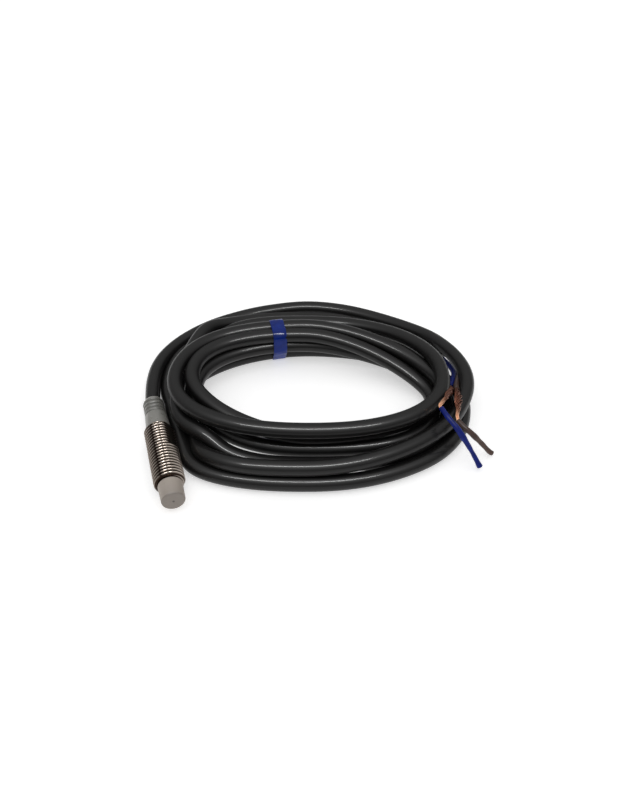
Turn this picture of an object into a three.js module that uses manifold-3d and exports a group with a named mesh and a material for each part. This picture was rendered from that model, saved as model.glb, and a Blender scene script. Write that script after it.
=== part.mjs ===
// M8 x 1 inductive proximity sensor with a coiled two-core cable.
// Millimetres, +Z up. The sensor lies flat on z = 0 with its axis along Y and its sensing face
// towards -Y; the origin is under the middle of the sensor. The cable is coiled at its +X side.
import * as THREE from "three";
import { mergeVertices } from "three/addons/utils/BufferGeometryUtils.js";
import Module from "manifold-3d";

const wasm = await Module();
wasm.setup();

// ---- driving dimensions ------------------------------------------------------------------
const GAP = 0.2; // between pieces that touch on the real object
const CORD_GAP = 0.3; // between the cable's own solids

const THREAD = { crest: 4.0, root: 3.387, pitch: 1.0, turns: 18, sides: 20 };
const AXIS_Z = THREAD.crest; // the barrel rests on its thread crests
const BARREL = { front: -13.2, rear: 6.8, bore: 2.9 };
const FLAT = { across: 6.6, front: -1.7, tilt: THREE.MathUtils.degToRad(32) };

const NOSE = { face: -18.8, faceR: 2.7, edge: 0.3, shoulderR: 3.15, skirtR: 2.7, skirtRear: -9.5 };
const NOSE_WALL = 1.0;
const CUP_R = 2.25; // inside radius of the nose cup

const CORE = { front: -17.6, height: 2.5, r: 2.1, postR: 0.75, wallR: 1.7, base: 0.7 };
const BOBBIN = { tubeIn: 0.82, tubeOut: 0.98, flangeR: 1.62, flange: 0.15, length: 1.65 };
const COIL_LEAD = { r: 0.08, x: 1.3, padY: -13.9 };

const BOARD = { halfWidth: 2.1, thick: 0.6, front: -14.6, rear: 4.2 };
const BOARD_TOP = AXIS_Z + BOARD.thick / 2;
const PART_Z = BOARD_TOP + 0.05; // underside of the parts soldered on the board

const SLEEVE = { front: 3.2, spigotR: 2.75, bore: 2.22, collarR: 3.3, neckR: 3.0, rear: 18.4 };
const RIB = { start: 12.3, count: 4, pitch: 1.45, crest: 2.9, root: 2.66, endR: 2.6 };
const RESIN = { front: 5.0, rear: 6.9, r: 2.1 };

const CABLE_R = 2.1;
const SHEATH_INNER_END = 7.9;
const CORE_R = 0.65; // insulation of each core wire
const STRAND_R = 0.4; // bare copper of each core wire

// The oval coil: its own X axis is turned by yaw from the sensor's X axis.
const COIL = {
  centre: [42.3, 7.5],
  yaw: THREE.MathUtils.degToRad(-17),
  outer: [38.25, 32.4],
  inner: [29.0, 16.7],
  innerShift: [0.5, 2.0],
  bottom: 0.9,
  top: 12.6,
  round: 3.0,
};
const TIE = { at: [-9.5, 24.5], turn: THREE.MathUtils.degToRad(12), width: 4.0, thick: 0.5 };
const TIE_INSIDE = 14.4; // clear width of the tie across the coil

// Routes of the cable and its core wires, from the sensor to the bare ends.
const LEAD_ROUTE = [
  [0, SLEEVE.rear + 0.1, 4.0],
  [0.6, 22.8, 4.0],
  [1.6, 28.0, 3.8],
  [4.7, 36.8, 3.2],
  [11.4, 45.2, 2.6],
  [21.6, 51.3, 2.4],
  [31.9, 54.1, 2.25],
  [42.0, 55.0, 2.2],
  [55.4, 53.5, 2.2],
  [67.1, 47.5, 2.4],
  [77.1, 38.2, 2.8],
  [85.4, 25.6, 4.4],
  [87.4, 16.3, 6.4],
  [88.4, 7.6, 7.1],
  [87.3, -0.2, 7.2],
  [84.1, -6.4, 6.8],
  [78.9, -12.0, 6.4],
];
const TAIL_ROUTE = [
  [74.2, 28.9, 2.3],
  [79.2, 25.1, 2.2],
  [84.0, 20.1, 2.2],
  [86.8, 14.7, 2.2],
];
const BLUE_ROUTE = {
  core: [
    [87.1, 14.1, 2.8],
    [87.4, 9.9, 3.2],
    [86.8, 6.0, 3.7],
    [84.4, 2.1, 4.6],
    [82.2, -1.2, 5.4],
  ],
  strands: [
    [82.0, -1.5, 5.5],
    [79.0, -6.2, 9.2],
    [74.8, -11.9, 12.8],
    [72.1, -14.4, 13.5],
    [71.0, -15.8, 13.6],
  ],
  slug: [
    [71.0, -16.2, 13.6],
    [71.4, -19.6, 13.2],
    [72.8, -22.4, 11.5],
    [74.6, -24.3, 8.5],
    [76.7, -26.1, 4.5],
    [78.2, -28.2, 1.2],
  ],
};
const BROWN_ROUTE = {
  core: [
    [87.9, 14.0, 1.5],
    [88.9, 10.5, 2.2],
    [88.2, 6.1, 3.3],
    [85.7, 1.7, 4.8],
    [82.5, -3.2, 7.4],
    [81.3, -5.8, 8.6],
  ],
  strands: [
    [81.1, -6.2, 8.7],
    [79.3, -10.5, 9.9],
    [77.2, -14.5, 10.3],
    [75.4, -18.0, 10.1],
  ],
  slug: [
    [75.2, -18.5, 10.0],
    [76.1, -21.0, 9.4],
    [77.8, -22.3, 7.8],
    [80.8, -23.3, 4.2],
    [82.9, -24.2, 1.6],
    [83.8, -24.6, 1.0],
  ],
};

// ---- materials ---------------------------------------------------------------------------
const paint = (color, roughness, metalness = 0) =>
  new THREE.MeshStandardMaterial({ color, roughness, metalness });
const NICKEL = paint(0xbdb6ab, 0.3, 1);
const NOSE_PLASTIC = paint(0x9b9087, 0.5);
const SLEEVE_PLASTIC = paint(0x9a9f9b, 0.35);
const BLACK_PVC = paint(0x2c2b2c, 0.4);
const BLUE_PVC = paint(0x26318a, 0.4);
const BROWN_PVC = paint(0x6a4a42, 0.45);
const TIE_BLUE = paint(0x1c3c9c, 0.25);
const COPPER = paint(0xb87350, 0.35, 1);
const FERRITE = paint(0x2b2b2e, 0.6);
const BOARD_GREEN = paint(0x1d5a37, 0.5);
const CHIP_BLACK = paint(0x1b1b1c, 0.5);
const CERAMIC = paint(0xc4ae8c, 0.5);
const SOLDER = paint(0xc9cbcd, 0.3, 1);
const RESIN_GREY = paint(0x6d6a64, 0.45);
const NYLON = paint(0xe8e4da, 0.5);
const LED_CLEAR = paint(0xf3e6b0, 0.3);

// ---- helpers -----------------------------------------------------------------------------
const solid = new THREE.Group();

function weld(geometry) {
  const bare = geometry.clone();
  bare.deleteAttribute("normal");
  bare.deleteAttribute("uv");
  return mergeVertices(bare, 1e-5);
}

function volume(geometry) {
  const p = geometry.getAttribute("position");
  const index = geometry.getIndex().array;
  const [a, b, c] = [0, 0, 0].map(() => new THREE.Vector3());
  let total = 0;
  for (let i = 0; i < index.length; i += 3) {
    a.fromBufferAttribute(p, index[i]);
    b.fromBufferAttribute(p, index[i + 1]);
    c.fromBufferAttribute(p, index[i + 2]);
    total += a.dot(b.cross(c)) / 6;
  }
  return total;
}

// A welded copy whose faces point out, without the slivers that collapse on a lathe's axis.
function closed(geometry) {
  const welded = weld(geometry);
  const index = welded.getIndex().array;
  const inward = volume(welded) < 0;
  const kept = [];
  for (let i = 0; i < index.length; i += 3) {
    const [a, b, c] = index.slice(i, i + 3);
    if (a !== b && b !== c && c !== a) {
      kept.push(...(inward ? [a, c, b] : [a, b, c]));
    }
  }
  welded.setIndex(kept);
  return welded;
}

function toManifold(geometry) {
  const g = closed(geometry);
  return new wasm.Manifold(
    new wasm.Mesh({
      numProp: 3,
      vertProperties: new Float32Array(g.getAttribute("position").array),
      triVerts: new Uint32Array(g.getIndex().array),
    }),
  );
}

function carve(body, cutters) {
  let cut = toManifold(body);
  for (const cutter of cutters) {
    cut = cut.subtract(toManifold(cutter));
  }
  const mesh = cut.getMesh();
  const geometry = new THREE.BufferGeometry();
  geometry.setAttribute("position", new THREE.BufferAttribute(mesh.vertProperties, 3));
  geometry.setIndex(new THREE.BufferAttribute(mesh.triVerts, 1));
  return geometry;
}

function add(name, geometry, material) {
  const flatSided = closed(geometry).toNonIndexed();
  flatSided.computeVertexNormals();
  const mesh = new THREE.Mesh(flatSided, material);
  mesh.name = name;
  solid.add(mesh);
}

// A piece turned about the sensor's axis: outline points are [radius, y].
function turned(outline, sides = 32) {
  const points = outline.map(([r, y]) => new THREE.Vector2(r, y));
  return new THREE.LatheGeometry(points, sides).translate(0, 0, AXIS_Z);
}

function rod(r, y0, y1, x = 0, z = AXIS_Z, sides = 24) {
  return new THREE.CylinderGeometry(r, r, y1 - y0, sides).translate(x, (y0 + y1) / 2, z);
}

function tube(route, r, sides, steps) {
  const path = new THREE.CatmullRomCurve3(route.map((p) => new THREE.Vector3(...p)), false, "centripetal");
  const section = new THREE.Shape();
  for (let i = 0; i < sides; i += 1) {
    const angle = (2 * Math.PI * i) / sides;
    section[i ? "lineTo" : "moveTo"](r * Math.cos(angle), r * Math.sin(angle));
  }
  return new THREE.ExtrudeGeometry(section, { extrudePath: path, steps, curveSegments: 1 });
}

// ---- barrel: a helical M8 x 1 thread, a bore right through and two wrench flats --------------
function threadedRod() {
  const { crest, root, pitch, turns, sides } = THREAD;
  const rows = 2 * turns;
  const span = pitch * (turns + 1);
  const start = (BARREL.front + BARREL.rear - span) / 2;
  const xyz = [];
  const faces = [];
  const point = (r, y, step) => {
    const angle = (2 * Math.PI * step) / sides;
    return xyz.push(r * Math.sin(angle), y, AXIS_Z + r * Math.cos(angle)) / 3 - 1;
  };
  // Row i runs once round the rod and rises by one pitch, so its end is the start of row i + 2.
  const grid = [];
  for (let i = 0; i <= rows + 2; i += 1) {
    const r = i % 2 ? crest : root;
    const columns = i > rows ? 1 : sides;
    grid.push([]);
    for (let j = 0; j < columns; j += 1) {
      grid[i].push(point(r, start + pitch * (i / 2 + j / sides), j));
    }
  }
  const at = (i, j) => (j === sides ? grid[i + 2][0] : grid[i][j]);
  const quad = (a, b, c, d) => faces.push(a, b, c, a, c, d);
  const ring = (y) => Array.from({ length: sides }, (_, j) => point(root, y, j));
  const front = ring(BARREL.front);
  const rear = ring(BARREL.rear);
  const frontCentre = point(0, BARREL.front, 0);
  const rearCentre = point(0, BARREL.rear, 0);
  const last = sides - 1;
  for (let j = 0; j < sides; j += 1) {
    const next = (j + 1) % sides;
    for (let i = 0; i < rows; i += 1) {
      quad(at(i, j), at(i, j + 1), at(i + 1, j + 1), at(i + 1, j));
    }
    if (j < last) {
      quad(front[j], front[j + 1], at(0, j + 1), at(0, j));
    }
    if (j > 0) {
      quad(at(rows, j), at(rows, j + 1), rear[next], rear[j]);
    }
    faces.push(frontCentre, front[next], front[j]);
    faces.push(rearCentre, rear[j], rear[next]);
  }
  // Where the ridge starts and stops, at angle 0.
  faces.push(front[last], front[0], at(0, 0));
  faces.push(front[last], at(0, 0), at(2, 0));
  faces.push(front[last], at(2, 0), at(0, last));
  faces.push(at(0, 0), at(1, 0), at(2, 0));
  faces.push(at(rows, 1), rear[1], rear[0]);
  faces.push(at(rows, 1), rear[0], at(rows + 2, 0));
  faces.push(at(rows, 1), at(rows + 2, 0), at(rows, 0));
  faces.push(at(rows, 0), at(rows + 2, 0), at(rows + 1, 0));
  const geometry = new THREE.BufferGeometry();
  geometry.setAttribute("position", new THREE.Float32BufferAttribute(xyz, 3));
  geometry.setIndex(faces);
  return geometry;
}

function wrenchFlatCutter(turn) {
  const depth = 3;
  const length = 12;
  const cutter = new THREE.BoxGeometry(depth, length, 3 * THREAD.crest);
  cutter.translate(FLAT.across / 2 + depth / 2, FLAT.front + length / 2, 0);
  cutter.rotateY(-FLAT.tilt + turn);
  return cutter.translate(0, 0, AXIS_Z);
}

function addBarrel() {
  const bore = rod(BARREL.bore, BARREL.front - 1, BARREL.rear + 1, 0, AXIS_Z, 28);
  const cutters = [bore, wrenchFlatCutter(0), wrenchFlatCutter(Math.PI)];
  add("threaded_barrel", carve(threadedRod(), cutters), NICKEL);
}

// ---- sensing end: plastic nose cup, ferrite core, bobbin and winding -----------------------
function addNoseCap() {
  const shoulder = BARREL.front - GAP;
  const outline = [
    [0, NOSE.face],
    [NOSE.faceR, NOSE.face],
    [NOSE.faceR + NOSE.edge, NOSE.face + NOSE.edge],
    [NOSE.shoulderR, shoulder],
    [NOSE.skirtR, shoulder],
    [NOSE.skirtR, NOSE.skirtRear],
    [CUP_R, NOSE.skirtRear],
    [CUP_R, NOSE.face + NOSE_WALL],
    [0, NOSE.face + NOSE_WALL],
  ];
  add("sensing_nose_cap", turned(outline), NOSE_PLASTIC);
}

function leadHoles() {
  return [-1, 1].map((side) => rod(0.2, CORE.front, CORE.front + 4, side * COIL_LEAD.x, AXIS_Z, 8));
}

function addSensingCoil() {
  const back = CORE.front + CORE.height;
  const floor = back - CORE.base;
  const potCore = turned([
    [0, CORE.front],
    [CORE.postR, CORE.front],
    [CORE.postR, floor],
    [CORE.wallR, floor],
    [CORE.wallR, CORE.front],
    [CORE.r, CORE.front],
    [CORE.r, back],
    [0, back],
  ]);
  add("ferrite_pot_core", carve(potCore, leadHoles()), FERRITE);

  const b0 = CORE.front + 0.05;
  const b1 = b0 + BOBBIN.length;
  const bobbin = turned([
    [BOBBIN.tubeIn, b0],
    [BOBBIN.flangeR, b0],
    [BOBBIN.flangeR, b0 + BOBBIN.flange],
    [BOBBIN.tubeOut, b0 + BOBBIN.flange],
    [BOBBIN.tubeOut, b1 - BOBBIN.flange],
    [BOBBIN.flangeR, b1 - BOBBIN.flange],
    [BOBBIN.flangeR, b1],
    [BOBBIN.tubeIn, b1],
    [BOBBIN.tubeIn, b0],
  ]);
  const rearHoles = [-1, 1].map((side) => rod(0.2, b1 - 0.4, b1 + 1, side * COIL_LEAD.x, AXIS_Z, 8));
  add("coil_bobbin", carve(bobbin, rearHoles), NYLON);

  const w0 = b0 + BOBBIN.flange + 0.05;
  const w1 = b1 - BOBBIN.flange - 0.1;
  const winding = turned([
    [BOBBIN.tubeOut + 0.05, w0],
    [BOBBIN.flangeR - 0.1, w0],
    [BOBBIN.flangeR - 0.1, w1],
    [BOBBIN.tubeOut + 0.05, w1],
    [BOBBIN.tubeOut + 0.05, w0],
  ]);
  add("sensing_coil_winding", winding, COPPER);

  for (const [name, side] of [["coil_lead_left", -1], ["coil_lead_right", 1]]) {
    const x = side * COIL_LEAD.x;
    const z = BOARD_TOP + COIL_LEAD.r + 0.05;
    const route = [
      [x, w1 + 0.05, AXIS_Z],
      [x, back + 0.1, AXIS_Z],
      [x, BOARD.front - 0.1, z],
      [x, COIL_LEAD.padY, z],
    ];
    add(name, tube(route, COIL_LEAD.r, 6, 8), COPPER);
  }
}

// ---- electronics ---------------------------------------------------------------------------
function block(width, length, height, x, y) {
  return new THREE.BoxGeometry(width, length, height).translate(x, y, PART_Z + height / 2);
}

// A small moulded package with a row of feet down each side, drawn as its cross-section.
function leadedPackage(width, length, height, x, y) {
  const w = width / 2;
  const foot = 0.35;
  const outline = [
    [-w, 0.15], [-w - foot, 0.15], [-w - foot, 0], [-w + 0.1, 0], [-w + 0.1, 0.1], [w - 0.1, 0.1],
    [w - 0.1, 0], [w + foot, 0], [w + foot, 0.15], [w, 0.15], [w, height], [-w, height],
  ];
  const section = new THREE.Shape(outline.map(([u, v]) => new THREE.Vector2(u, v)));
  const body = new THREE.ExtrudeGeometry(section, { depth: length, bevelEnabled: false });
  return body.rotateX(Math.PI / 2).translate(x, y + length / 2, PART_Z);
}

function addElectronics() {
  const boardLength = BOARD.rear - BOARD.front;
  const board = new THREE.BoxGeometry(2 * BOARD.halfWidth, boardLength, BOARD.thick);
  board.translate(0, (BOARD.front + BOARD.rear) / 2, AXIS_Z);
  add("circuit_board", board, BOARD_GREEN);
  add("oscillator_chip", leadedPackage(1.6, 2.9, 0.9, 0, -10.4), CHIP_BLACK);
  add("output_transistor", leadedPackage(1.3, 2.9, 0.95, 0, -4.6), CHIP_BLACK);
  add("surge_diode", leadedPackage(1.25, 1.7, 0.8, 0, -1.0), CHIP_BLACK);
  add("tank_capacitor", block(0.5, 1.0, 0.5, -0.9, -12.8), CERAMIC);
  add("threshold_resistor", block(0.5, 1.0, 0.35, 0.9, -12.8), CHIP_BLACK);
  add("filter_capacitor", block(0.8, 1.6, 0.7, -0.8, -7.5), CERAMIC);
  add("load_resistor", block(0.8, 1.6, 0.4, 0.8, -7.5), CHIP_BLACK);
  add("status_led", block(0.8, 1.6, 0.6, 0, 1.4), LED_CLEAR);
}

// ---- rear end: translucent sleeve, resin plug and the cable's anchored end -------------------
function addSleeve() {
  const collarFront = BARREL.rear + GAP;
  const outline = [
    [SLEEVE.bore, SLEEVE.front],
    [SLEEVE.spigotR, SLEEVE.front],
    [SLEEVE.spigotR, collarFront],
    [SLEEVE.collarR, collarFront],
    [SLEEVE.neckR, RIB.start],
  ];
  for (let i = 0; i < RIB.count; i += 1) {
    const y = RIB.start + i * RIB.pitch;
    outline.push([RIB.root, y + 0.15], [RIB.root, y + 0.55], [RIB.crest, y + 0.75], [RIB.crest, y + 1.3]);
  }
  outline.push([RIB.endR, SLEEVE.rear], [SLEEVE.bore, SLEEVE.rear], [SLEEVE.bore, SLEEVE.front]);
  add("indicator_sleeve", turned(outline), SLEEVE_PLASTIC);
}

function addCableAnchor() {
  add("cable_sheath_end", rod(CABLE_R, SHEATH_INNER_END, SLEEVE.rear - 0.2), BLACK_PVC);
  const routes = [-1, 1].map((side) => [
    [0.75 * side, SHEATH_INNER_END - CORD_GAP, 4.0],
    [0.85 * side, 6.2, 4.3],
    [0.95 * side, 4.6, 5.0],
    [1.0 * side, 3.1, 5.02],
  ]);
  add("inner_wire_blue", tube(routes[0], 0.6, 8, 8), BLUE_PVC);
  add("inner_wire_brown", tube(routes[1], 0.6, 8, 8), BROWN_PVC);
  const resin = rod(RESIN.r, RESIN.front, RESIN.rear);
  const wireHoles = routes.map((route) => tube(route, 0.66, 8, 8));
  add("resin_plug", carve(resin, wireHoles), RESIN_GREY);
  for (const [name, side] of [["solder_joint_blue", -1], ["solder_joint_brown", 1]]) {
    const dome = new THREE.SphereGeometry(0.45, 12, 6, 0, 2 * Math.PI, 0, Math.PI / 2);
    const base = new THREE.CircleGeometry(0.45, 12).rotateX(Math.PI / 2);
    add(name, joined([dome, base]).rotateX(Math.PI / 2).translate(side, 2.5, PART_Z), SOLDER);
  }
}

function joined(geometries) {
  const xyz = geometries.flatMap((g) => Array.from(g.toNonIndexed().getAttribute("position").array));
  const geometry = new THREE.BufferGeometry();
  geometry.setAttribute("position", new THREE.Float32BufferAttribute(xyz, 3));
  return geometry;
}

// ---- cable outside the sensor ----------------------------------------------------------------
function placeOnCoil(geometry) {
  return geometry.rotateZ(COIL.yaw).translate(COIL.centre[0], COIL.centre[1], 0);
}

function addCable() {
  add("cable_lead", tube(LEAD_ROUTE, CABLE_R, 10, 34), BLACK_PVC);

  const ring = new THREE.Shape().absellipse(0, 0, ...COIL.outer, 0, 2 * Math.PI);
  ring.holes.push(new THREE.Path().absellipse(...COIL.innerShift, ...COIL.inner, 0, 2 * Math.PI));
  const coil = new THREE.ExtrudeGeometry(ring, {
    depth: COIL.top - COIL.bottom - 2 * COIL.round,
    bevelThickness: COIL.round,
    bevelSize: COIL.round,
    bevelOffset: -COIL.round,
    bevelSegments: 3,
    curveSegments: 20,
  });
  add("cable_coil", placeOnCoil(coil.translate(0, 0, COIL.bottom + COIL.round)), BLACK_PVC);

  add("cable_tail", tube(TAIL_ROUTE, CABLE_R, 10, 6), BLACK_PVC);

  const height = COIL.top + GAP * 2 + TIE.thick;
  const halfWidth = TIE_INSIDE / 2 + TIE.thick;
  const band = new THREE.Shape();
  band.moveTo(-halfWidth, 0).lineTo(halfWidth, 0).lineTo(halfWidth, height).lineTo(-halfWidth, height);
  const opening = new THREE.Path();
  const [w, low, high] = [TIE_INSIDE / 2, TIE.thick, height - TIE.thick];
  opening.moveTo(-w, low).lineTo(-w, high).lineTo(w, high).lineTo(w, low);
  band.holes.push(opening);
  const tie = new THREE.ExtrudeGeometry(band, { depth: TIE.width, bevelEnabled: false });
  tie.translate(0, 0, -TIE.width / 2).rotateX(Math.PI / 2).rotateZ(Math.PI / 2 + TIE.turn);
  add("cable_tie", placeOnCoil(tie.translate(TIE.at[0], TIE.at[1], 0)), TIE_BLUE);
}

function addCoreWire(colour, route, plastic) {
  add(`${colour}_core`, tube(route.core, CORE_R, 8, 12), plastic);
  add(`${colour}_bare_strands`, tube(route.strands, STRAND_R, 8, 12), COPPER);
  add(`${colour}_insulation_slug`, tube(route.slug, CORE_R, 8, 12), plastic);
}

addBarrel();
addNoseCap();
addSensingCoil();
addElectronics();
addSleeve();
addCableAnchor();
addCable();
addCoreWire("blue", BLUE_ROUTE, BLUE_PVC);
addCoreWire("brown", BROWN_ROUTE, BROWN_PVC);

export default solid;
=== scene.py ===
import math

import bpy
import numpy as np
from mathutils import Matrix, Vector


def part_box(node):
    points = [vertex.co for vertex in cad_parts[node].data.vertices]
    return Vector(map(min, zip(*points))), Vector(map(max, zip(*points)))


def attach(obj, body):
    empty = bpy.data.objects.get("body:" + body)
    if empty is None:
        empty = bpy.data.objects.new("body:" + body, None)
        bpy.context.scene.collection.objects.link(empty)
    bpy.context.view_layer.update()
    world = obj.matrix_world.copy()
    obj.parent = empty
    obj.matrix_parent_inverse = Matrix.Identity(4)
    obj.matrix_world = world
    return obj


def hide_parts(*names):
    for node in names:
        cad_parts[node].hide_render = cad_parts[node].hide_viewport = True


# An M8 x 1 inductive proximity sensor and its coiled two-core cable, dressed around the packed
# CAD model. Metres, +Z up: the sensor lies along Y with its face towards -Y, and the cable is
# coiled at its +X side.
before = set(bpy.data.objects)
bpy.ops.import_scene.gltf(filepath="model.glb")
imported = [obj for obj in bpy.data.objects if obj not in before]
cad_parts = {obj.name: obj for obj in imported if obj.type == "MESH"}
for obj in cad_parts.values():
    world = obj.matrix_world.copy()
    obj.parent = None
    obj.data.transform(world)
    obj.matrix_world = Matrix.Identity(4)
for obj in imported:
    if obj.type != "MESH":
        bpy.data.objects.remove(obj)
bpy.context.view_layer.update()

# ---- sizes read from the CAD nodes --------------------------------------------------------------
BARREL_LOW, BARREL_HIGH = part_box("threaded_barrel")
NOSE_LOW, NOSE_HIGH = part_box("sensing_nose_cap")
SLEEVE_LOW, SLEEVE_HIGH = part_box("indicator_sleeve")
SHEATH_LOW, SHEATH_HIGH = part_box("cable_sheath_end")
TIE_LOW, TIE_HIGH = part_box("cable_tie")

CREST_R = (BARREL_HIGH.z - BARREL_LOW.z) / 2
AXIS_Z = (BARREL_HIGH.z + BARREL_LOW.z) / 2
CABLE_R = (SHEATH_HIGH.x - SHEATH_LOW.x) / 2

# ---- sizes of the fine shapes, in metres --------------------------------------------------------
PITCH = 0.001
ROOT_R = CREST_R - 0.613 * PITCH
BARREL_BORE = 0.0029
FLAT_ACROSS = 0.0066
FLAT_FRONT = -0.0017
FLAT_TILT = math.radians(32)
# painted reflection: how dark the wrench flats are painted
FLAT_PAINTED_REFLECTION = 0.30
THREAD_CHAMFER = 0.00055

CORE_R = 0.00070
COPPER_R = 0.00042  # the whole bundle of strands
STRAND_R = 0.00010
STRAND_LAY = 0.011

# ---- where the cable lies -----------------------------------------------------------------------
LEAD_ROUTE = [
    (0.0, 0.0185, 0.0040),
    (0.0006, 0.0228, 0.0040),
    (0.0016, 0.0280, 0.0038),
    (0.0047, 0.0368, 0.0032),
    (0.0114, 0.0452, 0.0026),
    (0.0216, 0.0513, 0.0024),
    (0.0319, 0.0541, 0.00225),
    (0.0420, 0.0550, 0.0022),
    (0.0554, 0.0535, 0.0022),
    (0.0671, 0.0475, 0.0024),
    (0.0771, 0.0382, 0.0028),
    (0.0854, 0.0256, 0.0044),
    (0.0874, 0.0163, 0.0064),
    (0.0884, 0.0076, 0.0071),
    (0.0873, -0.0002, 0.0072),
    (0.0841, -0.0064, 0.0068),
    (0.0789, -0.0120, 0.0064),
]
TAIL_ROUTE = [
    (0.0742, 0.0289, 0.0023),
    (0.0792, 0.0251, 0.0022),
    (0.0840, 0.0201, 0.0022),
    (0.0868, 0.0147, 0.0022),
]
TAIL_APPROACH = (0.0656, 0.0424, 0.0022)  # between the coil's last station and the tail

# The coil has its own axes. Each turn runs left, back, right, front; a station gives how far out
# the cable is there, its height, and how square the quarter turn after it is (2 is an ellipse).
COIL_CENTRE = (0.04319, 0.00974)
COIL_YAW = math.radians(-17)
TURNS = [
    [None, None, (0.0445, 0.0070, 1.80), (0.0312, 0.0063, 3.0)],
    [(0.0370, 0.0021, 1.9), (0.0225, 0.0021, 1.85), (0.0439, 0.0021, 2.1), (0.0326, 0.0021, 2.6)],
    [(0.0422, 0.0021, 3.2), (0.0312, 0.0063, 2.0), (0.0372, 0.0105, 2.28), (0.0221, 0.0105, 2.25)],
    [(0.0375, 0.0105, 2.0), (0.0233, 0.0105, 1.6), (0.0382, 0.0063, 2.0), (0.0199, 0.0062, 1.75)],
    [(0.0331, 0.0105, 3.0), (0.0189, 0.0105, 1.5), (0.0354, 0.0030, 2.85), (0.0204, 0.0021, 2.4)],
    [(0.0322, 0.0066, 2.2), (0.0195, 0.0063, 1.6), (0.0396, 0.0021, 2.7), (0.0262, 0.0023, 2.7)],
    [(0.0372, 0.0063, 2.6), (0.0394, 0.0021, 2.0), None, None],
]
FIRST_SAMPLE = 7  # of the first quarter: the lead's own points reach as far as that

BLUE_ROUTE = {
    "core": [
        (0.0871, 0.0141, 0.0028),
        (0.0874, 0.0099, 0.0032),
        (0.0868, 0.0060, 0.0037),
        (0.0844, 0.0021, 0.0046),
        (0.0822, -0.0012, 0.0054),
    ],
    "strands": [
        (0.0820, -0.0015, 0.0055),
        (0.0790, -0.0062, 0.0092),
        (0.0748, -0.0119, 0.0128),
        (0.0721, -0.0144, 0.0135),
        (0.0710, -0.0158, 0.0136),
    ],
    "slug": [
        (0.0710, -0.0162, 0.0136),
        (0.0714, -0.0196, 0.0132),
        (0.0728, -0.0224, 0.0115),
        (0.0746, -0.0243, 0.0085),
        (0.0767, -0.0261, 0.0045),
        (0.0782, -0.0282, 0.0012),
    ],
}
BROWN_ROUTE = {
    "core": [
        (0.0879, 0.0140, 0.0015),
        (0.0889, 0.0105, 0.0022),
        (0.0882, 0.0061, 0.0033),
        (0.0857, 0.0017, 0.0048),
        (0.0825, -0.0032, 0.0074),
        (0.0813, -0.0058, 0.0086),
    ],
    "strands": [
        (0.0811, -0.0062, 0.0087),
        (0.0793, -0.0105, 0.0099),
        (0.0772, -0.0145, 0.0103),
        (0.0754, -0.0180, 0.0101),
    ],
    "slug": [
        (0.0752, -0.0185, 0.0100),
        (0.0761, -0.0210, 0.0094),
        (0.0778, -0.0223, 0.0078),
        (0.0808, -0.0233, 0.0042),
        (0.0829, -0.0242, 0.0016),
        (0.0838, -0.0246, 0.0010),
    ],
}


# ---- camera, light and floor --------------------------------------------------------------------
def link(name, data):
    thing = bpy.data.objects.new(name, data)
    bpy.context.scene.collection.objects.link(thing)
    return thing


def make_camera():
    data = bpy.data.cameras.new("camera")
    data.sensor_width = 36
    data.lens = 31.5
    data.clip_start = 0.01
    camera = link("camera", data)
    camera.location = (-0.00067, -0.1337, 0.1363)
    camera.rotation_euler = (math.radians(48), 0, COIL_YAW)
    bpy.context.scene.camera = camera


def strip_light(name, location, target, length, width, watts):
    """A long soft lamp that is only seen in gloss: the pale dome around does the rest."""
    data = bpy.data.lights.new(name, "AREA")
    data.shape = "RECTANGLE"
    data.size = length
    data.size_y = width
    data.energy = watts
    light = link(name, data)
    light.location = location
    aim = Vector(target) - Vector(location)
    light.rotation_euler = aim.to_track_quat("-Z", "Y").to_euler()
    light.visible_diffuse = False


def make_dome(horizon, zenith):
    """Studio light that is brightest overhead, with a white backdrop behind the object."""
    world = bpy.data.worlds.new("studio_dome")
    world.use_nodes = True
    nodes, links = world.node_tree.nodes, world.node_tree.links
    direction = nodes.new("ShaderNodeTexCoord").outputs["Generated"]
    height = nodes.new("ShaderNodeSeparateXYZ")
    links.new(direction, height.inputs["Vector"])
    span = nodes.new("ShaderNodeMapRange")
    span.inputs["To Min"].default_value = horizon
    span.inputs["To Max"].default_value = zenith
    links.new(height.outputs["Z"], span.inputs["Value"])
    seen = nodes.new("ShaderNodeMath")
    seen.operation = "MAXIMUM"
    links.new(nodes.new("ShaderNodeLightPath").outputs["Is Camera Ray"], seen.inputs[0])
    links.new(span.outputs["Result"], seen.inputs[1])
    links.new(seen.outputs["Value"], nodes["Background"].inputs["Strength"])
    bpy.context.scene.world = world
    nodes["Background"].inputs["Color"].default_value = (1, 1, 1, 1)


def make_studio():
    middle = (*COIL_CENTRE, 0.0)
    strip_light(
        "overhead_strip", location=(0.0066, -0.1098, 0.264), target=middle, length=0.26,
        width=0.030, watts=1.25,
    )
    make_dome(horizon=0.15, zenith=1.05)
    bpy.context.scene.view_settings.view_transform = "Standard"

    half = 1.5
    corners = [(-half, -half, 0), (half, -half, 0), (half, half, 0), (-half, half, 0)]
    mesh = bpy.data.meshes.new("floor")
    mesh.from_pydata(corners, [], [(0, 1, 2, 3)])
    floor = link("floor", mesh)
    mesh.materials.append(make_material(
        "light_table", (0.80, 0.80, 0.80), roughness=0.7, Emission_Color=(1, 1, 1, 1),
        Emission_Strength=0.5,
    ))


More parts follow.
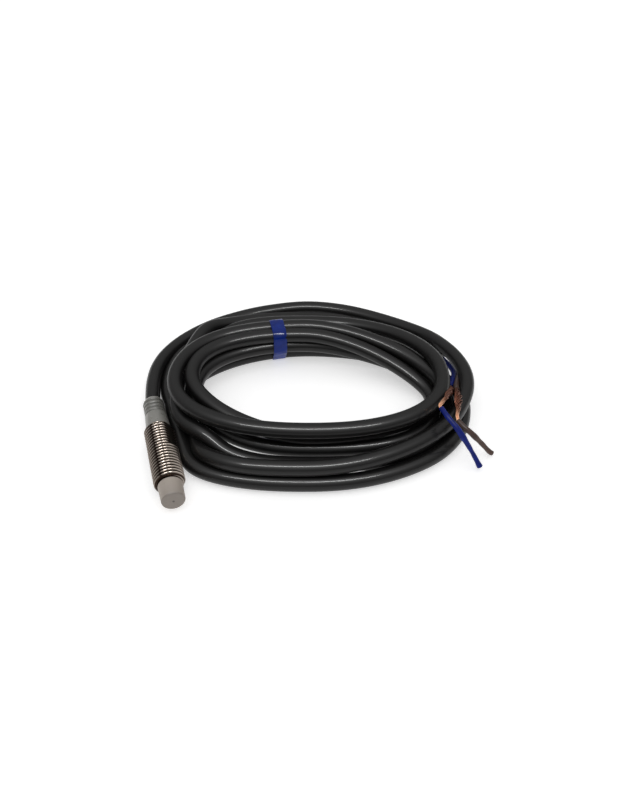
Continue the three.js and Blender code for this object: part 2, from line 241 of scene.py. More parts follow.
# ---- materials ----------------------------------------------------------------------------------
def make_material(name, colour, dark=None, patches=0.0, roughness=0.5, roughness_spread=0.0,
                  grain=None, stretch=None, **shader):
    """A principled material. Its colour moves between colour and dark in soft patches, its
    roughness wavers by roughness_spread, and grain is a (size, strength) of fine bump.
    stretch scales the texture space, which is the UV map if it is given."""
    material = bpy.data.materials.new(name)
    material.use_nodes = True
    tree = material.node_tree
    nodes, links = tree.nodes, tree.links
    principled = nodes["Principled BSDF"]
    principled.inputs["Base Color"].default_value = (*colour, 1)
    principled.inputs["Roughness"].default_value = roughness
    for key, value in shader.items():
        principled.inputs[key.replace("_", " ")].default_value = value
    place = nodes.new("ShaderNodeTexCoord").outputs["UV" if stretch else "Object"]
    if stretch:
        mapping = nodes.new("ShaderNodeMapping")
        mapping.inputs["Scale"].default_value = stretch
        links.new(place, mapping.inputs["Vector"])
        place = mapping.outputs["Vector"]

    def noise(size, detail):
        texture = nodes.new("ShaderNodeTexNoise")
        texture.inputs["Scale"].default_value = 1 / size
        texture.inputs["Detail"].default_value = detail
        links.new(place, texture.inputs["Vector"])
        return texture.outputs["Fac"]

    if dark:
        ramp = nodes.new("ShaderNodeValToRGB")
        ramp.color_ramp.elements[0].position = 0.3
        ramp.color_ramp.elements[0].color = (*dark, 1)
        ramp.color_ramp.elements[1].position = 0.7
        ramp.color_ramp.elements[1].color = (*colour, 1)
        links.new(noise(patches, 4), ramp.inputs["Fac"])
        links.new(ramp.outputs["Color"], principled.inputs["Base Color"])
    if roughness_spread:
        span = nodes.new("ShaderNodeMapRange")
        span.inputs["To Min"].default_value = roughness - roughness_spread
        span.inputs["To Max"].default_value = roughness + roughness_spread
        links.new(noise(patches / 2, 3), span.inputs["Value"])
        links.new(span.outputs["Result"], principled.inputs["Roughness"])
    if grain:
        bump = nodes.new("ShaderNodeBump")
        bump.inputs["Strength"].default_value = grain[1]
        bump.inputs["Distance"].default_value = grain[0] * 0.2
        links.new(noise(grain[0], 3), bump.inputs["Height"])
        links.new(bump.outputs["Normal"], principled.inputs["Normal"])
    return material


def colour_by_attribute(material, attribute, low_colour, high_colour):
    """Mixes the base colour from low_colour to high_colour by a number stored on the mesh."""
    nodes, links = material.node_tree.nodes, material.node_tree.links
    source = nodes.new("ShaderNodeAttribute")
    source.attribute_name = attribute
    ramp = nodes.new("ShaderNodeValToRGB")
    ramp.color_ramp.elements[0].position = 0.1
    ramp.color_ramp.elements[0].color = (*low_colour, 1)
    ramp.color_ramp.elements[1].position = 0.9
    ramp.color_ramp.elements[1].color = (*high_colour, 1)
    links.new(source.outputs["Fac"], ramp.inputs["Fac"])
    links.new(ramp.outputs["Color"], nodes["Principled BSDF"].inputs["Base Color"])


make_camera()
make_studio()

BLACK_PVC = make_material(
    "black_pvc", (0.0062, 0.0058, 0.0056), dark=(0.0040, 0.0037, 0.0037), patches=0.006,
    roughness=0.44, roughness_spread=0.06, grain=(0.0004, 0.10), stretch=(0.25, 1, 1),
    Specular_IOR_Level=0.18, Coat_Weight=0.22, Coat_Roughness=0.13,
)
BLUE_PVC = make_material(
    "blue_pvc", (0.007, 0.020, 0.210), dark=(0.006, 0.012, 0.120), patches=0.002,
    roughness=0.42, roughness_spread=0.05, grain=(0.0003, 0.25), Specular_IOR_Level=0.12,
)
BROWN_PVC = make_material(
    "brown_pvc", (0.085, 0.050, 0.040), dark=(0.055, 0.032, 0.026), patches=0.002,
    roughness=0.45, roughness_spread=0.05, grain=(0.0003, 0.25), Specular_IOR_Level=0.25,
)
COPPER = make_material(
    "copper", (0.46, 0.16, 0.105), patches=0.0012,
    roughness=0.28, roughness_spread=0.08, grain=(0.0001, 0.2), Metallic=1.0,
)
# painted light on the copper: painted shade in the dark red, painted highlight in the pale orange
colour_by_attribute(COPPER, "painted_light", (0.12, 0.026, 0.020), (1.0, 0.58, 0.36))
NICKEL = make_material(
    "nickel_plate", (0.72, 0.66, 0.60), patches=0.0016, roughness=0.34, roughness_spread=0.07,
    grain=(0.00025, 0.12), Metallic=1.0,
)
# painted light on the plating: painted shade in the dark brown, painted highlight in the pale cream
colour_by_attribute(NICKEL, "painted_light", (0.026, 0.016, 0.011), (0.74, 0.65, 0.57))
NOSE_PLASTIC = make_material(
    "nose_plastic", (0.265, 0.232, 0.202), patches=0.003,
    roughness=0.55, roughness_spread=0.06, grain=(0.00012, 0.25), Subsurface_Weight=0.06,
    Subsurface_Scale=0.0008, Subsurface_Radius=(1, 1, 1),
)
# painted shade: the nose's face gets the darker colour, its side the lighter one
colour_by_attribute(NOSE_PLASTIC, "painted_light", (0.10, 0.085, 0.075), (0.43, 0.375, 0.325))
SLEEVE_PLASTIC = make_material(
    "sleeve_plastic", (0.25, 0.25, 0.23), patches=0.0022, roughness=0.30, roughness_spread=0.08,
    grain=(0.0005, 0.3), Subsurface_Weight=0.15, Subsurface_Scale=0.0010,
    Subsurface_Radius=(1, 1, 1),
)
# painted light on the sleeve: painted shade in the dark grey, painted highlight in the pale grey
colour_by_attribute(SLEEVE_PLASTIC, "painted_light", (0.075, 0.073, 0.064), (0.60, 0.59, 0.55))
TIE_TAPE = make_material(
    "tie_tape", (0.003, 0.024, 0.230), dark=(0.003, 0.016, 0.150), patches=0.0025,
    roughness=0.30, roughness_spread=0.07, grain=(0.0009, 0.3), Specular_IOR_Level=0.06,
    Coat_Weight=0.22, Coat_Roughness=0.05,
)


# ---- mesh helpers -------------------------------------------------------------------------------
def make_piece(name, points, faces, material, uvs=None, sharp_angle=None):
    """A smooth-shaded mesh object; edges sharper than sharp_angle stay crisp."""
    mesh = bpy.data.meshes.new(name)
    mesh.from_pydata([tuple(p) for p in points], [], [tuple(int(i) for i in f) for f in faces])
    if uvs is not None:
        layer = mesh.uv_layers.new(name="UVMap")
        layer.data.foreach_set("uv", np.asarray(uvs, np.float32).ravel())
    mesh.polygons.foreach_set("use_smooth", [True] * len(mesh.polygons))
    if sharp_angle:
        mesh.set_sharp_from_angle(angle=sharp_angle)
    mesh.materials.append(material)
    mesh.update()
    return link(name, mesh)


def store_painted_light(piece, values):
    """Stores one number per vertex of painted light and shade, which the piece's material turns into
    brightness.
    """
    attribute = piece.data.attributes.new("painted_light", "FLOAT", "POINT")
    attribute.data.foreach_set("value", np.asarray(values, np.float32))


def thread_height(phase):
    """0 in the valley and 1 on the crest of an ISO thread; phase is the share of a pitch."""
    rise = 1 - np.abs(2 * (phase % 1) - 1)
    return np.clip((rise - 0.25) / 0.625, 0, 1)


def catmull(route, steps=12):
    """A smooth line through the points of a route."""
    points = np.array(route, float)
    ends = [2 * points[0] - points[1]], [2 * points[-1] - points[-2]]
    knots = np.vstack([ends[0], points, ends[1]])
    t = np.linspace(0, 1, steps, endpoint=False)[:, None]
    line = []
    for a, b, c, d in zip(knots, knots[1:], knots[2:], knots[3:]):
        cubic = 3 * b - a - 3 * c + d
        square = 2 * a - 5 * b + 4 * c - d
        line.append(0.5 * (2 * b + (c - a) * t + square * t**2 + cubic * t**3))
    return np.vstack([*line, points[-1:]])


def lengths_along(line):
    """The distance from the start of the line to each of its points."""
    return np.r_[0, np.cumsum(np.linalg.norm(np.diff(line, axis=0), axis=1))]


def at_distances(line, distances):
    """The points at the given distances from the start of the line."""
    along = lengths_along(line)
    return np.stack([np.interp(distances, along, line[:, k]) for k in range(3)], 1)


def evenly(line, step):
    """The same line as points about one step apart."""
    total = lengths_along(line)[-1]
    return at_distances(line, np.linspace(0, total, int(round(total / step)) + 1))


def side_vectors(line):
    """Two unit vectors across the line at each of its points, carried along it without twisting."""
    ahead = np.gradient(line, axis=0)
    ahead /= np.linalg.norm(ahead, axis=1)[:, None]
    side = np.cross(ahead[0], (0.0, 0.0, 1.0))
    if np.linalg.norm(side) < 0.1:
        side = np.cross(ahead[0], (1.0, 0.0, 0.0))
    sides = []
    for direction in ahead:
        side = side - (side @ direction) * direction
        side /= np.linalg.norm(side)
        sides.append(side)
    sides = np.array(sides)
    return sides, np.cross(ahead, sides)


def tube(line, radii, sides):
    """Points, faces and face-corner UVs (metres along, metres round) of a closed tube."""
    across, up = side_vectors(line)
    angles = np.linspace(0, 2 * math.pi, sides, endpoint=False)
    ring = across[:, None] * np.cos(angles)[None, :, None] + up[:, None] * np.sin(angles)[None, :, None]
    radii = np.broadcast_to(radii, len(line))
    points = (line[:, None] + ring * radii[:, None, None]).reshape(-1, 3)
    row, column = np.meshgrid(np.arange(len(line) - 1), np.arange(sides), indexing="ij")
    row, column = row.ravel(), column.ravel()
    following = (column + 1) % sides
    quads = np.stack([
        row * sides + column, row * sides + following,
        (row + 1) * sides + following, (row + 1) * sides + column,
    ], 1)
    along = lengths_along(line)
    girth = 2 * math.pi * radii.max() / sides
    u = np.stack([along[row], along[row], along[row + 1], along[row + 1]], 1)
    v = np.stack([column, column + 1, column + 1, column], 1) * girth
    uvs = np.stack([u, v], 2).reshape(-1, 2)
    last = (len(line) - 1) * sides
    caps = [list(range(sides))[::-1], list(range(last, last + sides))]
    uvs = np.vstack([uvs, np.zeros((2 * sides, 2))])
    return points, [*quads.tolist(), *caps], uvs


def rounded_tube(line, radius, sides, step, edge, wobble=None):
    """A tube whose two ends are rounded over by edge. wobble gives a factor on the radius."""
    total = lengths_along(line)[-1]
    corner = edge * (1 - np.cos(np.linspace(0, math.pi / 2, 5)))
    body = np.linspace(edge, total - edge, max(2, int(round(total / step))))
    distances = np.r_[corner, body[1:-1], total - corner[::-1]]
    inset = np.minimum(np.minimum(distances, total - distances), edge)
    radii = radius - edge + np.sqrt(edge**2 - (edge - inset) ** 2)
    if wobble:
        radii = radii * wobble(distances)
    return tube(at_distances(line, distances), np.maximum(radii, radius * 0.05), sides)


def joined(parts):
    """Several (points, faces, uvs) as one."""
    points, faces, uvs, count = [], [], [], 0
    for part_points, part_faces, part_uvs in parts:
        points.append(part_points)
        faces += [[i + count for i in face] for face in part_faces]
        uvs.append(part_uvs)
        count += len(part_points)
    return np.vstack(points), faces, np.vstack(uvs)


def rounded_outline(corners, steps=5):
    """An outline of (radius, y, corner radius) points with its corners rounded into arcs."""
    outline = []
    count = len(corners)
    for i, (r, y, size) in enumerate(corners):
        here = np.array([r, y])
        before = np.array(corners[i - 1][:2]) - here
        after = np.array(corners[(i + 1) % count][:2]) - here
        if size == 0:
            outline.append(here)
            continue
        start = here + before / np.linalg.norm(before) * size
        end = here + after / np.linalg.norm(after) * size
        for t in np.linspace(0, 1, steps):
            outline.append((1 - t) ** 2 * start + 2 * t * (1 - t) * here + t**2 * end)
    return np.array(outline)


def lathe(outline, sides):
    """A closed outline of (radius, y) points turned about the sensor's axis. A point at radius 0
    becomes one vertex."""
    angles = np.linspace(0, 2 * math.pi, sides, endpoint=False)
    points, rings = [], []
    for r, y in outline:
        if r < 1e-9:
            rings.append([len(points)] * sides)
            points.append((0, y, AXIS_Z))
            continue
        rings.append(list(range(len(points), len(points) + sides)))
        points += [(r * math.sin(a), y, AXIS_Z + r * math.cos(a)) for a in angles]
    faces = []
    for near, far in zip(rings, [*rings[1:], rings[0]]):
        for j in range(sides):
            k = (j + 1) % sides
            face = list(dict.fromkeys([near[j], near[k], far[k], far[j]]))
            if len(face) > 2:
                faces.append(face)
    return np.array(points), faces


# ---- cable: its route ---------------------------------------------------------------------------
STEP = 0.0015  # between the points that are pushed apart
ROUNDS = 160
STRIDE = 0.9  # share of each round's push that is made
RECOIL = 0.02  # share of the way back to the drawn line in each round
SAME_TURN = 0.014  # points nearer than this along the cable don't push each other
FREE_START = 0.030  # the cable may touch the sensor up to this far from its sleeve
HELD_POINTS = 6  # at the sleeve: they don't move
CORNER_PASSES = 6  # softening of the drawn line before it is pushed apart
QUARTER_SAMPLES = 24


def coil_point(u, v):
    """From the coil's own axes to the frame."""
    cos, sin = math.cos(COIL_YAW), math.sin(COIL_YAW)
    return COIL_CENTRE[0] + u * cos - v * sin, COIL_CENTRE[1] + u * sin + v * cos


def quarter(index, start, end):
    """A quarter turn from one station to the next. index counts quarters: 0 starts at the left."""
    share = np.linspace(0, 1, QUARTER_SAMPLES, endpoint=False)
    angle = (index + share) * math.pi / 2
    cos, sin = np.cos(angle), np.sin(angle)
    wide, deep = (start[0], end[0]) if index % 2 == 0 else (end[0], start[0])
    power = 2 / start[2]
    u = -wide * np.sign(cos) * np.abs(cos) ** power
    v = deep * np.sign(sin) * np.abs(sin) ** power
    x, y = coil_point(u, v)
    z = start[1] + (end[1] - start[1]) * (1 - np.cos(share * math.pi)) / 2
    return np.stack([x, y, z], 1)


def coil_line():
    """All the quarter turns in a row, from the end of the lead to the start of the tail."""
    stations = [
        (4 * turn + side, station)
        for turn, row in enumerate(TURNS)
        for side, station in enumerate(row)
        if station
    ]
    quarters = [quarter(i, a, b) for (i, a), (_, b) in zip(stations, stations[1:])]
    return np.vstack(quarters)[FIRST_SAMPLE:]


def softened(values, times):
    """Averages each row with its neighbours."""
    for _ in range(times):
        inner = 0.25 * values[:-2] + 0.5 * values[1:-1] + 0.25 * values[2:]
        values = np.vstack([values[:1], inner, values[-1:]])
    return values


def push_from_rod(line, start, end, clearance):
    """How far each point moves to be clear of a straight round rod."""
    along = end - start
    share = np.clip((line - start) @ along / (along @ along), 0, 1)
    away = line - (start + share[:, None] * along)
    distance = np.linalg.norm(away, axis=1)
    return away * np.where(distance < clearance, (clearance - distance) / distance, 0)[:, None]


def pushed_apart(line):
    """Pushes the turns towards a cable's thickness apart and away from the sensor, on the table.
    The rounds are limited, so slight overlaps are left."""
    rest = line.copy()
    order = np.arange(len(line))
    other = np.abs(order[:, None] - order[None]) > int(SAME_TURN / STEP)
    past_exit = (order > FREE_START / STEP)[:, None]
    axis = [np.array((0, y, AXIS_Z)) for y in (NOSE_LOW.y, BARREL_HIGH.y, SLEEVE_HIGH.y)]
    sleeve_r = (SLEEVE_HIGH.x - SLEEVE_LOW.x) / 2
    for _ in range(ROUNDS):
        gap = line[:, None] - line[None]
        distance = np.sqrt((gap**2).sum(-1)) + 1e-9
        touching = (distance < 2 * CABLE_R) & other
        push = np.where(touching, (CABLE_R - distance / 2) / distance, 0)
        move = (push[..., None] * gap).sum(1)
        move /= np.sqrt(np.maximum(touching.sum(1), 1))[:, None]
        move += past_exit * push_from_rod(line, axis[0], axis[1], CREST_R + CABLE_R)
        move += past_exit * push_from_rod(line, axis[1], axis[2], sleeve_r + CABLE_R)
        move = softened(move, 2) + RECOIL * (rest - line)
        move[:HELD_POINTS] = 0
        line = rest + softened(line + STRIDE * move - rest, 1)
        line[:, 2] = np.maximum(line[:, 2], CABLE_R)
    return line


def cable_line():
    tail = catmull([TAIL_APPROACH, *TAIL_ROUTE])
    drawn = np.vstack([catmull(LEAD_ROUTE)[:-1], coil_line(), tail])
    return catmull(pushed_apart(softened(evenly(drawn, STEP), CORNER_PASSES)), steps=3)


CABLE_LINE = cable_line()


# ---- cable: its pieces --------------------------------------------------------------------------
TIE_WIDTH = 0.0040
TIE_THICK = 0.00022
TIE_SLACK = 0.00012
TIE_TURN = COIL_YAW + math.radians(12)  # the cable's direction where the tie holds it
TIE_REACH = 0.0085  # turns within this distance of the tie's middle are held


def make_tie(line):
    """Tape drawn tight round the turns that it holds: the hull of their cut circles."""
    normal = np.array((math.cos(TIE_TURN), math.sin(TIE_TURN), 0.0))
    outward = np.array((-math.sin(TIE_TURN), math.cos(TIE_TURN), 0.0))
    middle = np.array(((TIE_LOW.x + TIE_HIGH.x) / 2, (TIE_LOW.y + TIE_HIGH.y) / 2, 0.0))
    height = (line - middle) @ normal
    crossing = np.nonzero(np.diff(np.sign(height)))[0]
    offsets = [(line[i] - middle) @ outward for i in crossing]
    cuts = [(a, line[i][2]) for i, a in zip(crossing, offsets) if abs(a) < TIE_REACH]
    ring = np.linspace(0, 2 * math.pi, 24, endpoint=False)
    radius = CABLE_R + TIE_SLACK
    spots = [(a + radius * math.cos(t), z + radius * math.sin(t)) for a, z in cuts for t in ring]
    hull = convex_hull(spots)
    loop = evenly(np.array([(a, z, 0.0) for a, z in [*hull, hull[0]]]), 0.0005)[:-1]
    closed = softened(np.vstack([loop, loop, loop]), 3)
    loop = closed[len(loop):2 * len(loop), :2]
    ahead = np.roll(loop, -1, 0) - np.roll(loop, 1, 0)
    ahead /= np.linalg.norm(ahead, axis=1)[:, None]
    out = np.stack([ahead[:, 1], -ahead[:, 0]], 1)
    return tie_band(loop, out, middle, normal, outward)


def convex_hull(spots):
    """The hull's corners, going round one way."""
    def half(ordered):
        kept = []
        for p in ordered:
            while len(kept) > 1 and turn_of(kept[-2], kept[-1], p) <= 0:
                kept.pop()
            kept.append(p)
        return kept[:-1]

    ordered = sorted(spots)
    return half(ordered) + half(ordered[::-1])


def turn_of(a, b, c):
    """Above 0 where the way from a over b to c turns left."""
    return (b[0] - a[0]) * (c[1] - a[1]) - (b[1] - a[1]) * (c[0] - a[0])


def tie_band(loop, out, middle, normal, outward):
    """The tape as a closed band with rounded edges and a few soft creases across it."""
    half = TIE_WIDTH / 2
    crease_depth = 0.00005
    above_table = 0.00002
    section = [
        (-half, 0.3), (-half * 0.97, 0.0), (half * 0.97, 0.0), (half, 0.3), (half, 0.7),
        (half * 0.97, 1.0), (half * 0.5, 1.05), (0.0, 1.0), (-half * 0.5, 1.05),
        (-half * 0.97, 1.0), (-half, 0.7),
    ]
    points = []
    for i, ((a, z), (oa, oz)) in enumerate(zip(loop, out)):
        for across, level in section:
            crease = crease_depth * math.sin(i * 1.9 + across * 900) * math.sin(i * 0.37 + 1.0)
            rise = level * TIE_THICK + (crease if level > 0.5 else 0.0)
            place = middle + normal * across + outward * (a + oa * rise)
            points.append((place[0], place[1], max(z + oz * rise, above_table)))
    size, count = len(section), len(loop)
    faces = []
    for i in range(count):
        k = (i + 1) % count
        for j in range(size):
            m = (j + 1) % size
            faces.append([i * size + j, k * size + j, k * size + m, i * size + m])
    return points, faces


def strand_bundle(line, lay, spread):
    """Fine copper strands twisted round each other, one turn in each lay; spread opens them out
    along the way."""
    rings = [(0, 1), (COPPER_R * 0.42, 6), (COPPER_R - STRAND_R, 13)]
    line = evenly(line, 0.0003)
    along = lengths_along(line)
    across, up = side_vectors(line)
    open_out = spread(along)
    parts = []
    for offset, count in rings:
        for k in range(count):
            wander = 0.25 * np.sin(along * 900 + 2.4 * k + offset * 9000)
            angle = 2 * math.pi * (along / lay + k / count) + wander
            away = offset * open_out * (1 + 0.10 * np.sin(along * 500 + 1.7 * k))
            swing = across * np.cos(angle)[:, None] + up * np.sin(angle)[:, None]
            parts.append(tube(line + swing * away[:, None], STRAND_R, 6))
    return joined(parts)


def opening(centre, width, amount):
    """A spread for strand_bundle: 1 where the strands are held, more round the given place."""
    return lambda along: 1 + amount * np.exp(-(((along - centre) / width) ** 2))


def slug_waver(length):
    """A slug's radius along its way: fuller in the middle and at the tip, with a slight waver."""
    def factor(along):
        middle = np.exp(-(((along / length - 0.42) / 0.16) ** 2))
        tip = np.exp(-(((along / length - 1.0) / 0.10) ** 2))
        waver = 0.05 * np.sin(along * 700) + 0.04 * np.sin(along * 1900 + 1)
        return 0.90 + 0.28 * middle + 0.14 * tip + waver

    return factor


def make_cable():
    """The black sheath from the sleeve to its cut end, and the tie round it."""
    points, faces, uvs = rounded_tube(CABLE_LINE, CABLE_R, 28, 0.0008, 0.00025)
    sheath = make_piece("cable_sheath", points, faces, BLACK_PVC, uvs=uvs)
    tie = make_piece("cable_tape_tie", *make_tie(CABLE_LINE), TIE_TAPE)
    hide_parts("cable_lead", "cable_coil", "cable_tail")
    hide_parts("cable_tie")
    for piece in (sheath, tie):
        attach(piece, "root")


def make_strands(name, whole, route):
    """The copper of one core: splayed where it is bare, with a painted highlight beside the slug and
    painted shade further up.
    """
    bare_start = lengths_along(catmull(route["core"]))[-1]
    bare = lengths_along(catmull(route["strands"]))[-1]
    spread = opening(bare_start + 0.42 * bare, 0.32 * bare, 2.0)
    points, faces, uvs = strand_bundle(whole, STRAND_LAY, spread)
    strands = make_piece(name, points, faces, COPPER, uvs=uvs)
    from_slug = np.linalg.norm(points - np.array(route["slug"][0]), axis=1)
    # painted highlight beside the slug, fading to painted shade along the rest of the strands
    store_painted_light(strands, 0.2 + 0.8 * np.exp(-((from_slug / 0.0025) ** 2)))
    return strands


def make_core_wire(colour, route, plastic):
    """One core: copper strands all the way, insulated at the sheath and in a slug on the tip."""
    insulation_line = catmull(route["core"])
    slug_line = catmull(route["slug"])
    whole = catmull([*route["core"], *route["strands"][1:], *route["slug"][1:-1]])
    strands = make_strands(f"{colour}_copper_strands", whole, route)
    points, faces, uvs = rounded_tube(insulation_line, 1.12 * CORE_R, 20, 0.0004, 0.0001)
    insulation = make_piece(f"{colour}_core_insulation", points, faces, plastic, uvs=uvs)
    waver = slug_waver(lengths_along(slug_line)[-1])
    points, faces, uvs = rounded_tube(slug_line, CORE_R, 20, 0.0003, 0.0002, wobble=waver)
    slug = make_piece(f"{colour}_pulled_insulation", points, faces, plastic, uvs=uvs)
    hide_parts(f"{colour}_bare_strands")
    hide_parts(f"{colour}_core")
    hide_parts(f"{colour}_insulation_slug")
    for piece in (strands, insulation, slug):
        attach(piece, "root")


make_cable()
make_core_wire("blue", BLUE_ROUTE, BLUE_PVC)
make_core_wire("brown", BROWN_ROUTE, BROWN_PVC)


# ---- barrel -------------------------------------------------------------------------------------
def painted_light_round(angle):
    """Painted light round the plating: a painted highlight along the top and painted shade along the
    sides, with one dark painted reflection line between the two. angle is 0 at the top and grows
    towards +X."""
    degrees = (np.degrees(angle) + 180) % 360 - 180
    places = [-180, -42, -33, -27, -22, -16, 45, 75, 180]
    return np.interp(degrees, places, [0.30, 0.42, 0.34, 0.10, 0.40, 1.0, 0.9, 0.5, 0.30])


def threaded_surface(y, angle):
    """Points of the thread's outside with the wrench flats cut in it, and the painted light on each: a
    painted highlight on the crests, painted shade in the valleys and a darker painted reflection on the
    flats.
    """
    height = thread_height(y / PITCH - angle / (2 * math.pi))
    radius = ROOT_R + (CREST_R - ROOT_R) * height
    from_end = np.minimum(y - BARREL_LOW.y, BARREL_HIGH.y - y)
    radius = np.minimum(radius, CREST_R - THREAD_CHAMFER + from_end)
    x, z = radius * np.sin(angle), radius * np.cos(angle)
    normal = (math.cos(FLAT_TILT), math.sin(FLAT_TILT))
    out = x * normal[0] + z * normal[1]
    over = np.where(y > FLAT_FRONT, np.abs(out) - FLAT_ACROSS / 2, 0)
    cut = np.maximum(over, 0) * np.sign(out)
    x, z = x - cut * normal[0], z - cut * normal[1]
    # painted highlight on the crests, painted shade in the valleys and a dark painted reflection on the
    # flats, times the painted light round the barrel
    painted_light = np.where(over > 0, FLAT_PAINTED_REFLECTION, height**2) * painted_light_round(angle)
    return np.stack([x, y, z + AXIS_Z], 2).reshape(-1, 3), painted_light.ravel()


def bore_ring(angles, y):
    """One end of the bore."""
    x, z = BARREL_BORE * np.sin(angles), BARREL_BORE * np.cos(angles) + AXIS_Z
    return np.stack([x, np.full(len(angles), y), z], 1)


def make_barrel():
    sides, rows_per_pitch = 120, 20
    front, rear = BARREL_LOW.y, BARREL_HIGH.y
    rows = int(round((rear - front) / PITCH * rows_per_pitch)) + 1
    y, angle = np.meshgrid(
        np.linspace(front, rear, rows), np.linspace(0, 2 * math.pi, sides, endpoint=False),
        indexing="ij",
    )
    outer, painted_light = threaded_surface(y, angle)
    points = np.vstack([outer, bore_ring(angle[0], rear), bore_ring(angle[0], front)])
    faces = []
    ring_count = rows + 2
    for i in range(ring_count):
        k = (i + 1) % ring_count
        for j in range(sides):
            m = (j + 1) % sides
            faces.append([i * sides + j, i * sides + m, k * sides + m, k * sides + j])
    barrel = make_piece("threaded_barrel_fine", points, faces, NICKEL, sharp_angle=math.radians(50))
    # the bore and its end faces get the darkest colour
    store_painted_light(barrel, np.r_[painted_light, np.zeros(2 * sides)])
    return barrel


# ---- nose and sleeve ----------------------------------------------------------------------------
def make_nose():
    """A cap that widens a little towards the barrel, with a moulding gate's mark on its face."""
    face, shoulder = NOSE_LOW.y, BARREL_LOW.y - 0.0002
    face_r, shoulder_r = 0.00297, 0.00315
    skirt_r, cup_r, wall = 0.0027, 0.00225, 0.0010
    gate_r, gate_depth = 0.00030, 0.00008
    corners = [
        (0.0, face + gate_depth, 0), (gate_r * 0.6, face + gate_depth, 0), (gate_r, face, 0.00004),
        (face_r, face, 0.00050), (shoulder_r, shoulder, 0.00020), (skirt_r, shoulder, 0.00005),
        (skirt_r, NOSE_HIGH.y, 0.0001), (cup_r, NOSE_HIGH.y, 0.0001),
        (cup_r, face + wall, 0.0001), (0.0, face + wall, 0),
    ]
    points, faces = lathe(rounded_outline(corners, steps=8), 96)
    nose = make_piece("sensing_nose", points, faces, NOSE_PLASTIC, sharp_angle=math.radians(40))
    # painted shade on the face, lighter up the side; the gate's dimple gets the darkest colour
    painted_light = np.interp(points[:, 1] - face, [0.0002, 0.0007], [0.40, 0.9])
    from_axis = np.hypot(points[:, 0], points[:, 2] - AXIS_Z)
    painted_light[from_axis < gate_r + 0.00001] = 0.0
    store_painted_light(nose, painted_light)
    return nose


def make_sleeve():
    """A spigot inside the barrel, a collar behind it, and ribs up to the cable."""
    front, rear, collar_front = SLEEVE_LOW.y, SLEEVE_HIGH.y, BARREL_HIGH.y + 0.0002
    bore, spigot_r, collar_r, neck_r = 0.00222, 0.00275, 0.0033, 0.0030
    rib_start, rib_pitch, rib_count, crest_r, root_r = 0.0123, 0.00145, 4, 0.0029, 0.00266
    corners = [
        (bore, front, 0.00005), (spigot_r, front, 0.0001), (spigot_r, collar_front, 0.00005),
        (collar_r, collar_front, 0.00018), (neck_r, rib_start, 0.00012),
    ]
    for i in range(rib_count):
        y = rib_start + i * rib_pitch
        corners += [
            (root_r, y + 0.00015, 0.00006), (root_r, y + 0.00055, 0.00008),
            (crest_r, y + 0.00075, 0.00009), (crest_r - i * 0.00005, y + 0.0013, 0.00009),
        ]
    corners += [(0.0026, rear - 0.00003, 0.00015), (bore + 0.0001, rear, 0.00005)]
    points, faces = lathe(rounded_outline(corners, steps=5), 96)
    sleeve = make_piece("status_sleeve", points, faces, SLEEVE_PLASTIC, sharp_angle=math.radians(60))
    radius = np.hypot(points[:, 0], points[:, 2] - AXIS_Z)
    # painted shade in the rib valleys, painted highlight lines on the rib crests and a bright painted
    # highlight on the rim at the cable end
    smooth_painted_light, valley_painted_shade, crest_painted_highlight, rim_painted_highlight = 0.38, 0.18, 0.29, 0.85
    ribs = np.where(radius > crest_r - 0.0002, crest_painted_highlight, valley_painted_shade)
    painted_light = np.where(points[:, 1] > rib_start, ribs, smooth_painted_light)
    painted_light[points[:, 1] > rear - 0.0004] = rim_painted_highlight
    store_painted_light(sleeve, painted_light)
    return sleeve


for piece, node, slot in [
    (make_barrel(), "threaded_barrel", "nickel"),
    (make_nose(), "sensing_nose_cap", "nose_plastic"),
    (make_sleeve(), "indicator_sleeve", "sleeve_plastic"),
]:
    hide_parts(node)
    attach(piece, "root")


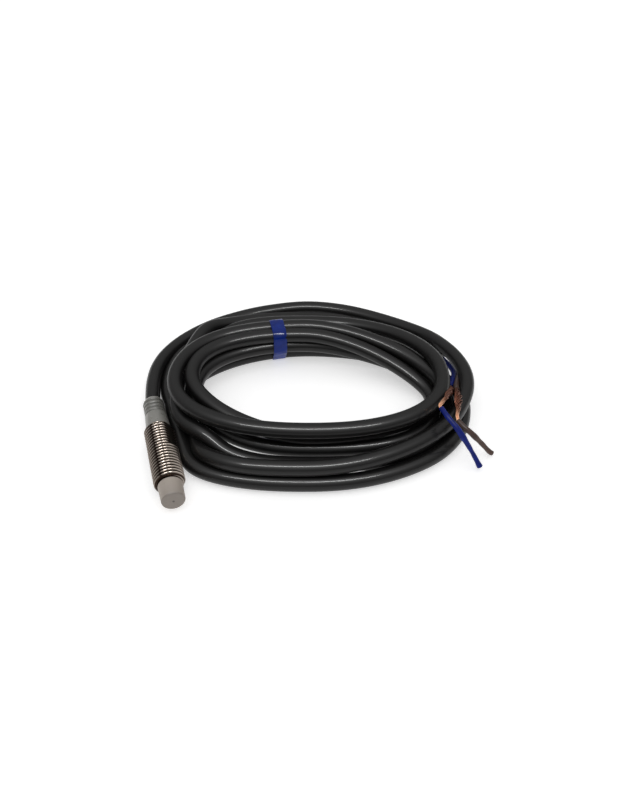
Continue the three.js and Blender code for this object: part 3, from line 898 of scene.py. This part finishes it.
# ---- CAD nodes that stay: their materials -------------------------------------------------------
FERRITE = make_material(
    "ferrite", (0.035, 0.035, 0.040), dark=(0.022, 0.022, 0.026), patches=0.0008, roughness=0.55,
    roughness_spread=0.08, grain=(0.00012, 0.4),
)
NYLON = make_material(
    "nylon", (0.76, 0.73, 0.66), dark=(0.70, 0.66, 0.58), patches=0.0010, roughness=0.45,
    roughness_spread=0.05, grain=(0.0002, 0.15), Subsurface_Weight=0.1, Subsurface_Scale=0.0005,
)
BOARD = make_material(
    "board", (0.022, 0.135, 0.060), dark=(0.012, 0.090, 0.040), patches=0.0012, roughness=0.4,
    roughness_spread=0.08, grain=(0.0003, 0.3),
)
CHIP_BLACK = make_material(
    "chip_black", (0.020, 0.020, 0.021), dark=(0.013, 0.013, 0.014), patches=0.0006,
    roughness=0.5, roughness_spread=0.08, grain=(0.00008, 0.4),
)
CERAMIC = make_material(
    "ceramic", (0.54, 0.42, 0.26), dark=(0.46, 0.34, 0.20), patches=0.0004, roughness=0.5,
    roughness_spread=0.06, grain=(0.0001, 0.2),
)
SOLDER = make_material(
    "solder", (0.62, 0.63, 0.64), dark=(0.45, 0.46, 0.48), patches=0.0003, roughness=0.3,
    roughness_spread=0.08, grain=(0.0002, 0.25), Metallic=1.0,
)
RESIN = make_material(
    "resin", (0.155, 0.145, 0.125), dark=(0.115, 0.105, 0.090), patches=0.0009, roughness=0.35,
    roughness_spread=0.08, grain=(0.0004, 0.3),
)
LED_CLEAR = make_material(
    "led_clear", (0.86, 0.78, 0.42), dark=(0.78, 0.68, 0.34), patches=0.0004, roughness=0.2,
    roughness_spread=0.05, grain=(0.0002, 0.1), Subsurface_Weight=0.3, Subsurface_Scale=0.0004,
)
NODE_MATERIALS = {
    "ferrite_pot_core": FERRITE,
    "coil_bobbin": NYLON,
    "sensing_coil_winding": COPPER,
    "coil_lead_left": COPPER,
    "coil_lead_right": COPPER,
    "circuit_board": BOARD,
    "oscillator_chip": CHIP_BLACK,
    "output_transistor": CHIP_BLACK,
    "surge_diode": CHIP_BLACK,
    "tank_capacitor": CERAMIC,
    "threshold_resistor": CHIP_BLACK,
    "filter_capacitor": CERAMIC,
    "load_resistor": CHIP_BLACK,
    "status_led": LED_CLEAR,
    "cable_sheath_end": BLACK_PVC,
    "inner_wire_blue": BLUE_PVC,
    "inner_wire_brown": BROWN_PVC,
    "resin_plug": RESIN,
    "solder_joint_blue": SOLDER,
    "solder_joint_brown": SOLDER,
}
for name, material in NODE_MATERIALS.items():
    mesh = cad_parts[name].data
    mesh.materials.clear()
    mesh.materials.append(material)
